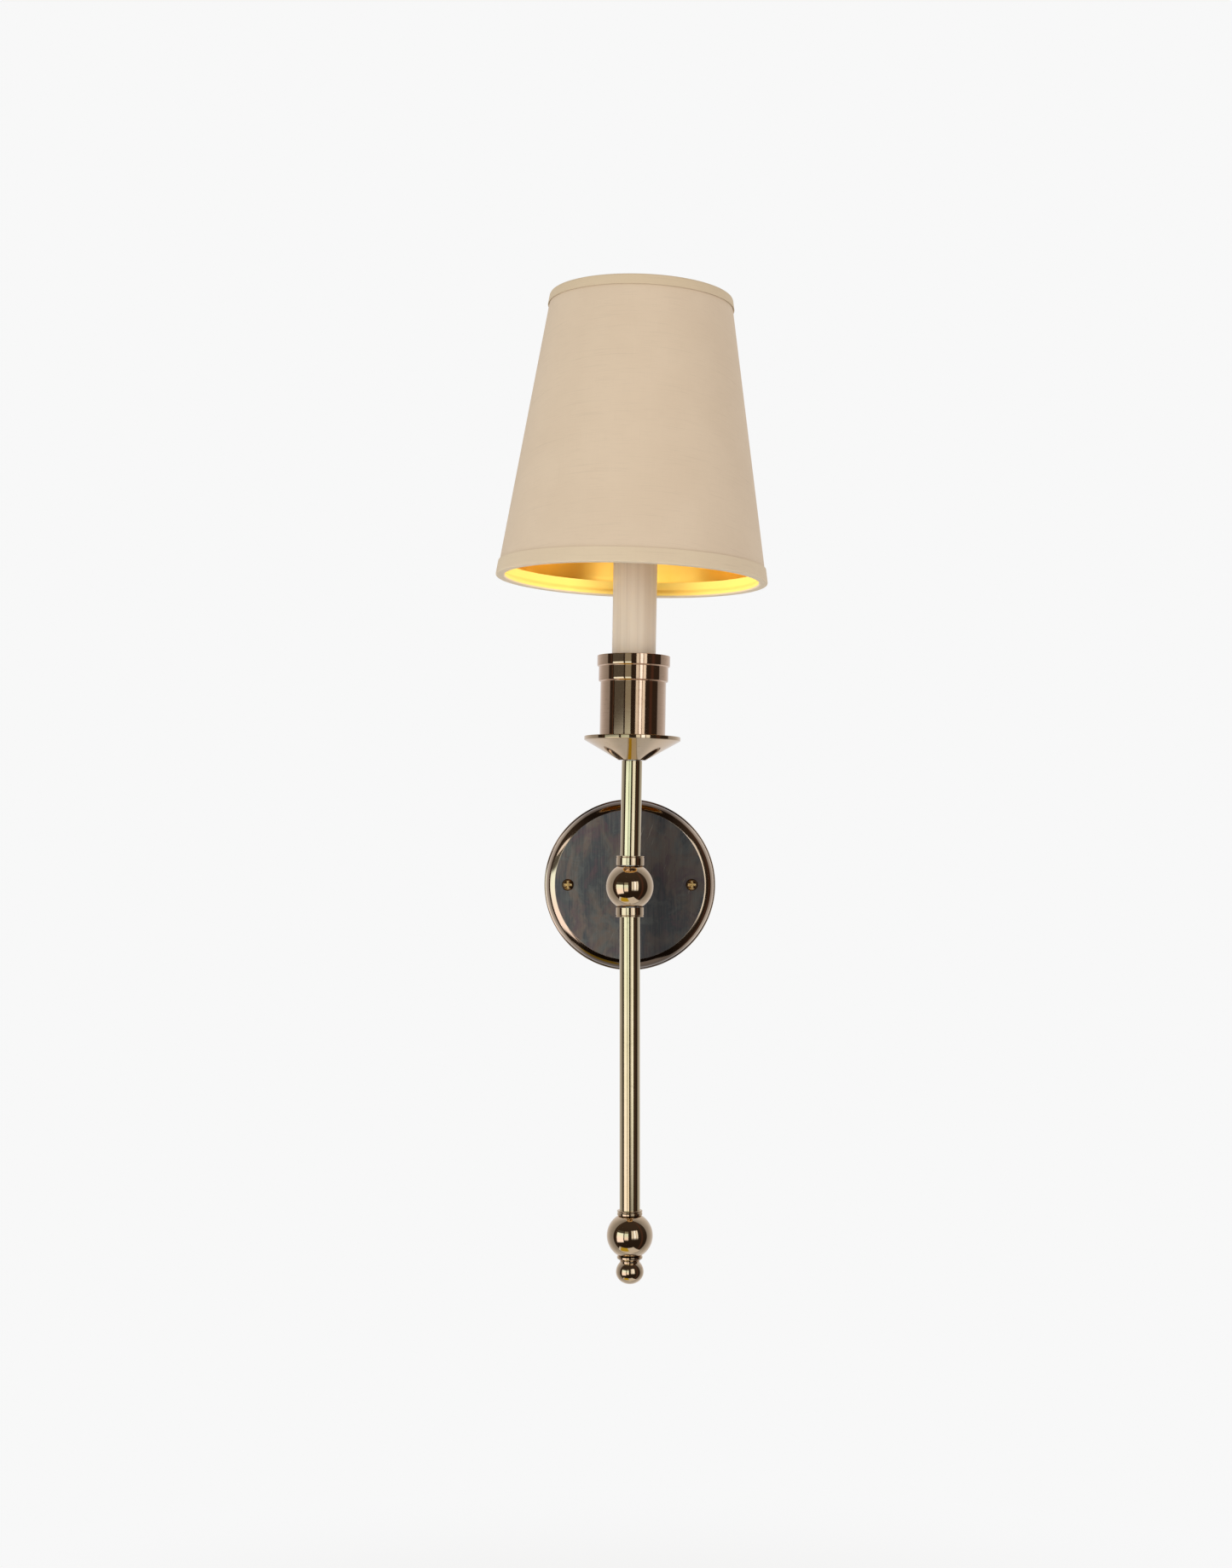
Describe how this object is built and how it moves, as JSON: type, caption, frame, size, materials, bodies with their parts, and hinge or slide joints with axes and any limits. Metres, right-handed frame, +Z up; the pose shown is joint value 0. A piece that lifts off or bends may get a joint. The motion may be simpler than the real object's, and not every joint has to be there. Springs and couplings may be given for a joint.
{
  "type": "wall sconce candle holder",
  "caption": "Wall sconce: a turned brass stem on a round wall plate carries a candle-style lampholder, a drip dish and a clip-on tapered fabric shade lined in gold.",
  "frame": {"origin": "centre of the mounting strap's back face, on the wall plane, level with the ball of the stem", "axes": "+Z up along the wall, +Y into the wall, so the light stands out towards -Y; +X to the right as seen from the room"},
  "size_m": [0.1595, 0.1748, 0.5808],
  "materials": {
    "polished_brass": "polished, lightly bronzed and lacquered",
    "aged_brass_plate": "dark patinated brass with a fine brushed grain",
    "bright_brass": "bright brass",
    "zinc_steel": "zinc plated",
    "cream_card_sleeve": "satin, cream",
    "cream_plastic": "satin moulding",
    "white_plastic": "satin moulding",
    "black_glass": "gloss",
    "clear_glass": "clear",
    "cream_linen": "fine plain weave on a stiff backing",
    "cream_tape": "folded self-coloured trim",
    "gold_foil": "metallic gold film, softly glossy",
    "brown_insulation": "satin",
    "blue_insulation": "satin",
    "green_insulation": "satin"
  },
  "bodies": {
    "fixture": {"backplate": "aged_brass_plate", "backplate_screw_left": "bright_brass", "backplate_screw_right": "bright_brass", "mounting_strap": "zinc_steel", "strap_nut_left": "zinc_steel", "strap_nut_right": "zinc_steel", "arm_nipple_rear": "zinc_steel", "arm_washer": "zinc_steel", "arm_locknut": "zinc_steel", "earth_tag": "bright_brass", "terminal_block": "white_plastic", "live_wire": "brown_insulation", "neutral_wire": "blue_insulation", "earth_wire": "green_insulation", "arm_plate_collar": "polished_brass", "arm_tube": "polished_brass", "arm_ball_collar": "polished_brass", "arm_nipple_front": "zinc_steel", "centre_ball": "polished_brass", "ball_collar_upper": "polished_brass", "ball_collar_lower": "polished_brass", "stem_nipple_upper": "zinc_steel", "stem_nipple_lower": "zinc_steel", "stem_tube_upper": "polished_brass", "stem_tube_lower": "polished_brass", "finial_stud": "zinc_steel", "finial_collar_upper": "polished_brass", "finial_ball": "polished_brass", "finial_collar_lower": "polished_brass", "finial_tip": "polished_brass", "drip_dish": "polished_brass", "cup_spacer": "polished_brass", "cup_nipple": "zinc_steel", "candle_cup": "polished_brass", "cup_washer": "zinc_steel", "cup_locknut": "zinc_steel", "lampholder_riser": "zinc_steel", "lampholder_cap": "cream_plastic", "lampholder_body": "cream_plastic", "lampholder_shell": "bright_brass", "lampholder_contact": "bright_brass", "candle_sleeve": "cream_card_sleeve"},
    "bulb": {"bulb_cap": "zinc_steel", "bulb_insulator": "black_glass", "bulb_contact": "bright_brass", "bulb_glass": "clear_glass", "bulb_mount": "clear_glass", "bulb_filament": "zinc_steel"},
    "clip": {"clip_loop_left": "zinc_steel", "clip_loop_right": "zinc_steel", "clip_yoke": "bright_brass"},
    "shade": {"shade_cover": "cream_linen", "shade_lining": "gold_foil", "shade_top_trim": "cream_tape", "shade_bottom_trim": "cream_tape", "shade_top_ring": "zinc_steel", "shade_bottom_ring": "zinc_steel", "shade_spider": "zinc_steel"}
  },
  "joints": [
    {"name": "bulb_turn", "type": "hinge", "parent": "fixture", "child": "bulb", "pos_m": [0, -0.095, 0], "axis": [0.0175, 0, 0.9998], "range_deg": [0, 1080]},
    {"name": "clip_lift", "type": "slide", "parent": "bulb", "child": "clip", "axis": [0.0175, 0, 0.9998], "range_m": [0, 0.11]},
    {"name": "shade_tilt", "type": "hinge", "parent": "clip", "child": "shade", "pos_m": [0.00517, -0.095, 0.29616], "axis": [0, 1, 0], "range_deg": [-13, 11]}
  ]
}
